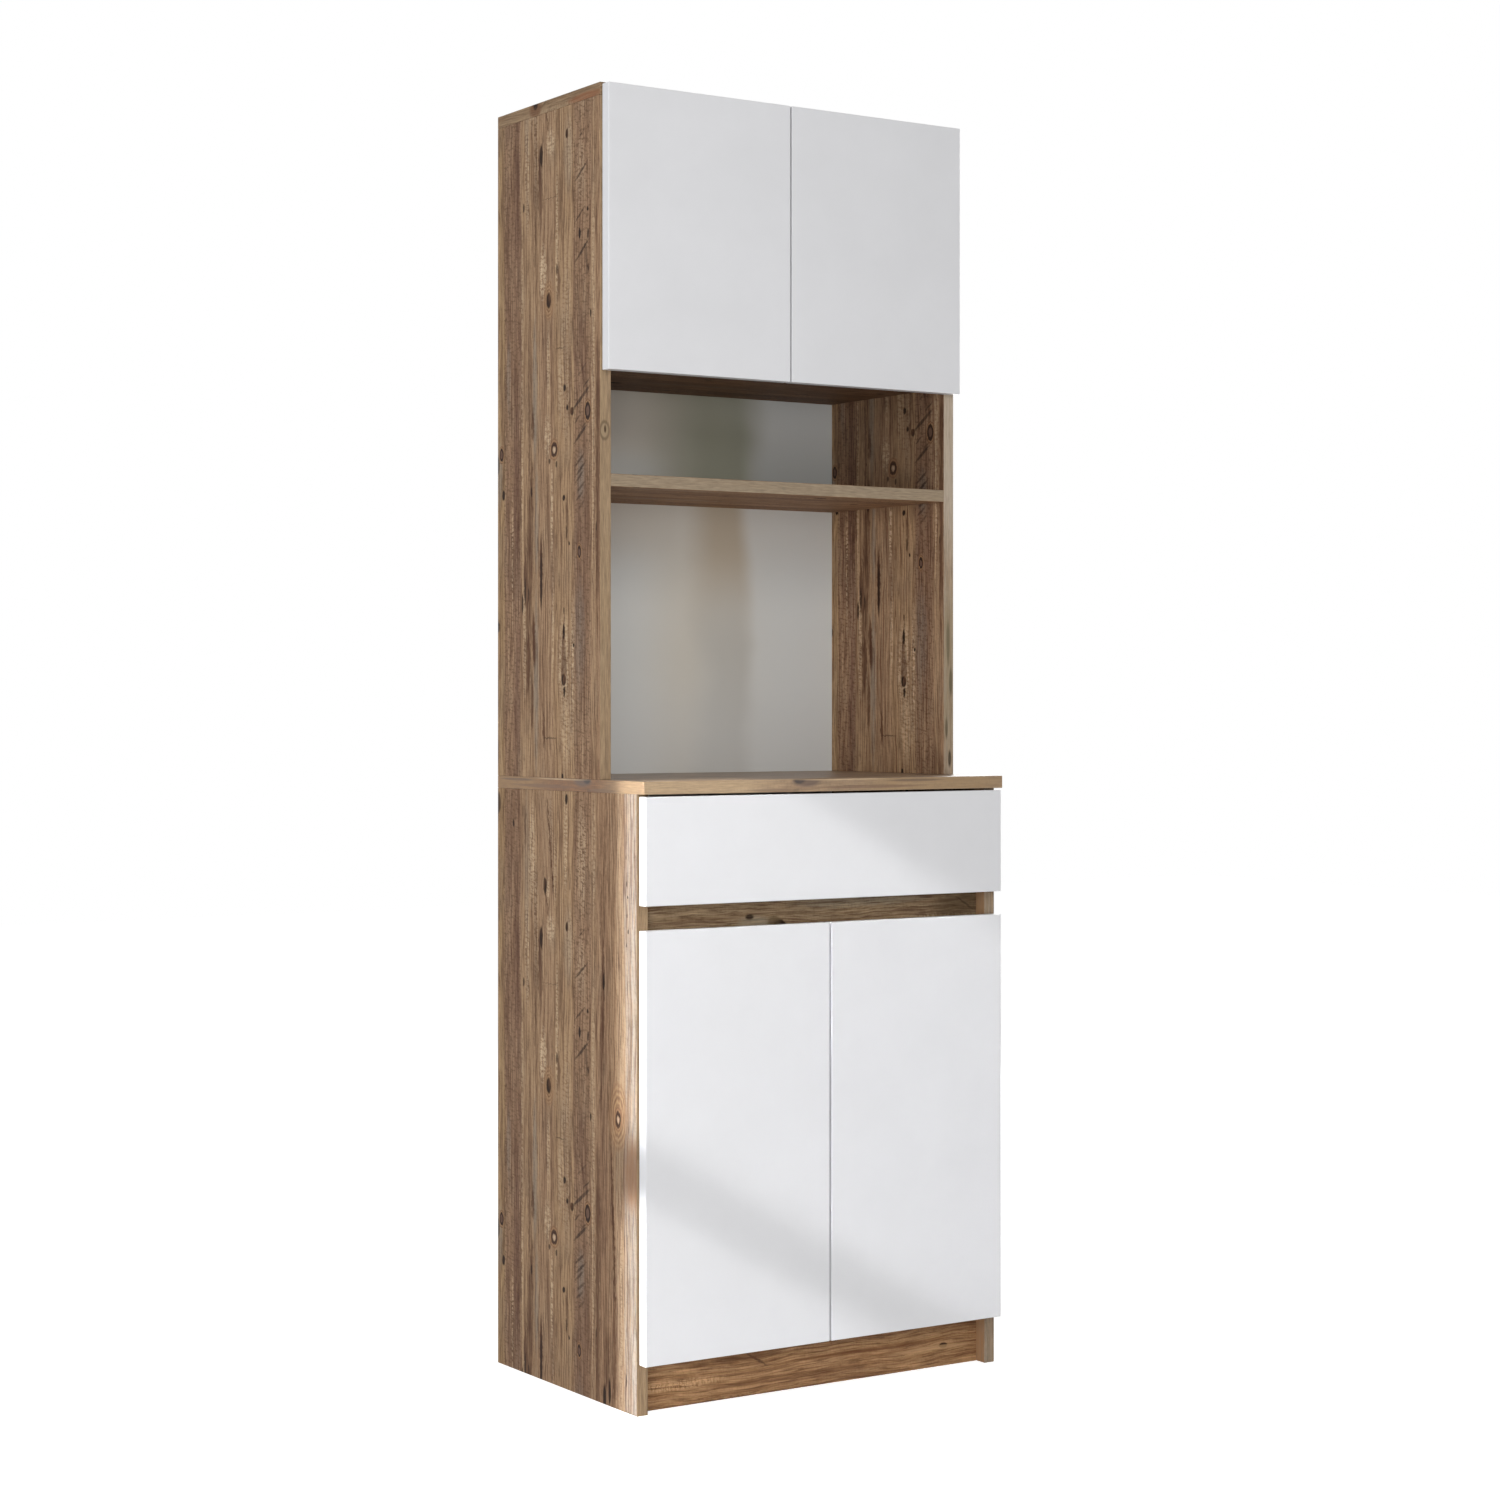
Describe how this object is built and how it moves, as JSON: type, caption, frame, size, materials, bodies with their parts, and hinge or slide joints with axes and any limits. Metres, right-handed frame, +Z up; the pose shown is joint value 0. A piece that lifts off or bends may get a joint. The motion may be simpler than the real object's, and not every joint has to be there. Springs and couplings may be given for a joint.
{
  "type": "storage cabinet",
  "caption": "Tall storage cabinet: base unit with hinged doors and a drawer under a worktop, and a set-back hutch with open niches and a cupboard with hinged doors.",
  "frame": {"origin": "on the floor, in the middle of the cabinet's width and of its depth over the worktop", "axes": "+Z up, +X to the right seen from the front, +Y towards the wall"},
  "size_m": [0.62, 0.42, 1.85],
  "materials": {
    "wood_upright": "matt printed pine decor on chipboard with knots and cracks, grain upright",
    "wood_level": "matt printed pine decor on chipboard with knots and cracks, grain level",
    "white_front": "smooth white satin lacquer on fibreboard",
    "white_board": "white satin melamine on chipboard",
    "back_board": "satin pale grey lacquer on hardboard",
    "beech": "raw fluted beech",
    "clear_rubber": "clear soft buffer",
    "nickel_steel": "nickel-plated pressed steel",
    "zinc_steel": "dull zinc plating"
  },
  "bodies": {
    "carcass": {"base_side_left": "wood_upright", "base_side_right": "wood_upright", "base_floor": "wood_level", "plinth": "wood_level", "grip_rail": "wood_level", "base_back_panel": "back_board", "inner_shelf": "wood_level", "shelf_pegs": "nickel_steel", "worktop": "wood_level", "hutch_side_left": "wood_upright", "hutch_side_right": "wood_upright", "hutch_top": "wood_level", "cupboard_floor": "wood_level", "open_shelf": "wood_level", "hutch_back_panel": "back_board", "hinge_pins": "zinc_steel", "hinge_arms": "nickel_steel", "hinge_arm_screws": "zinc_steel", "hinge_mounting_plates": "nickel_steel", "mounting_plate_screws": "zinc_steel", "runner_outer_left": "zinc_steel", "runner_outer_right": "zinc_steel", "outer_runner_screws": "zinc_steel", "cam_locks": "zinc_steel", "cam_bolts": "zinc_steel", "worktop_bolts": "zinc_steel", "dowels": "beech", "hutch_back_nails": "zinc_steel", "base_back_nails": "zinc_steel", "door_buffers": "clear_rubber", "wall_brackets": "nickel_steel", "wall_bracket_screws": "zinc_steel"},
    "upper_left_door": {"upper_door_left": "white_front", "upper_left_hinge_cups": "nickel_steel", "upper_left_cup_screws": "zinc_steel"},
    "upper_right_door": {"upper_door_right": "white_front", "upper_right_hinge_cups": "nickel_steel", "upper_right_cup_screws": "zinc_steel"},
    "lower_left_door": {"lower_door_left": "white_front", "lower_left_hinge_cups": "nickel_steel", "lower_left_cup_screws": "zinc_steel"},
    "lower_right_door": {"lower_door_right": "white_front", "lower_right_hinge_cups": "nickel_steel", "lower_right_cup_screws": "zinc_steel"},
    "drawer": {"drawer_front": "white_front", "drawer_side_left": "white_board", "drawer_side_right": "white_board", "drawer_back": "white_board", "drawer_bottom": "white_board", "drawer_cams": "zinc_steel", "drawer_cam_bolts": "zinc_steel", "drawer_back_screws": "zinc_steel", "drawer_bottom_nails": "zinc_steel", "runner_inner_left": "zinc_steel", "runner_inner_right": "zinc_steel", "inner_runner_screws": "zinc_steel"},
    "left_runner_slider": {"runner_middle_left": "nickel_steel"},
    "right_runner_slider": {"runner_middle_right": "nickel_steel"}
  },
  "joints": [
    {"name": "upper_left_door_hinge", "type": "hinge", "parent": "carcass", "child": "upper_left_door", "pos_m": [-0.3017, -0.1025, 1.6465], "axis": [0, 0, -1], "range_deg": [0, 95]},
    {"name": "upper_right_door_hinge", "type": "hinge", "parent": "carcass", "child": "upper_right_door", "pos_m": [0.3017, -0.1025, 1.6465], "axis": [0, 0, 1], "range_deg": [0, 95]},
    {"name": "lower_left_door_hinge", "type": "hinge", "parent": "carcass", "child": "lower_left_door", "pos_m": [-0.3017, -0.2025, 0.369], "axis": [0, 0, -1], "range_deg": [0, 95]},
    {"name": "lower_right_door_hinge", "type": "hinge", "parent": "carcass", "child": "lower_right_door", "pos_m": [0.3017, -0.2025, 0.369], "axis": [0, 0, 1], "range_deg": [0, 95]},
    {"name": "drawer_slide", "type": "slide", "parent": "carcass", "child": "drawer", "axis": [0, -1, 0], "range_m": [0, 0.35]},
    {"name": "left_runner_slide", "type": "slide", "parent": "carcass", "child": "left_runner_slider", "axis": [0, -1, 0], "range_m": [0, 0.175]},
    {"name": "right_runner_slide", "type": "slide", "parent": "carcass", "child": "right_runner_slider", "axis": [0, -1, 0], "range_m": [0, 0.175]}
  ],
  "couplings": [
    {"joint": "left_runner_slide", "follows": "drawer_slide", "ratio": 0.5},
    {"joint": "right_runner_slide", "follows": "drawer_slide", "ratio": 0.5}
  ]
}
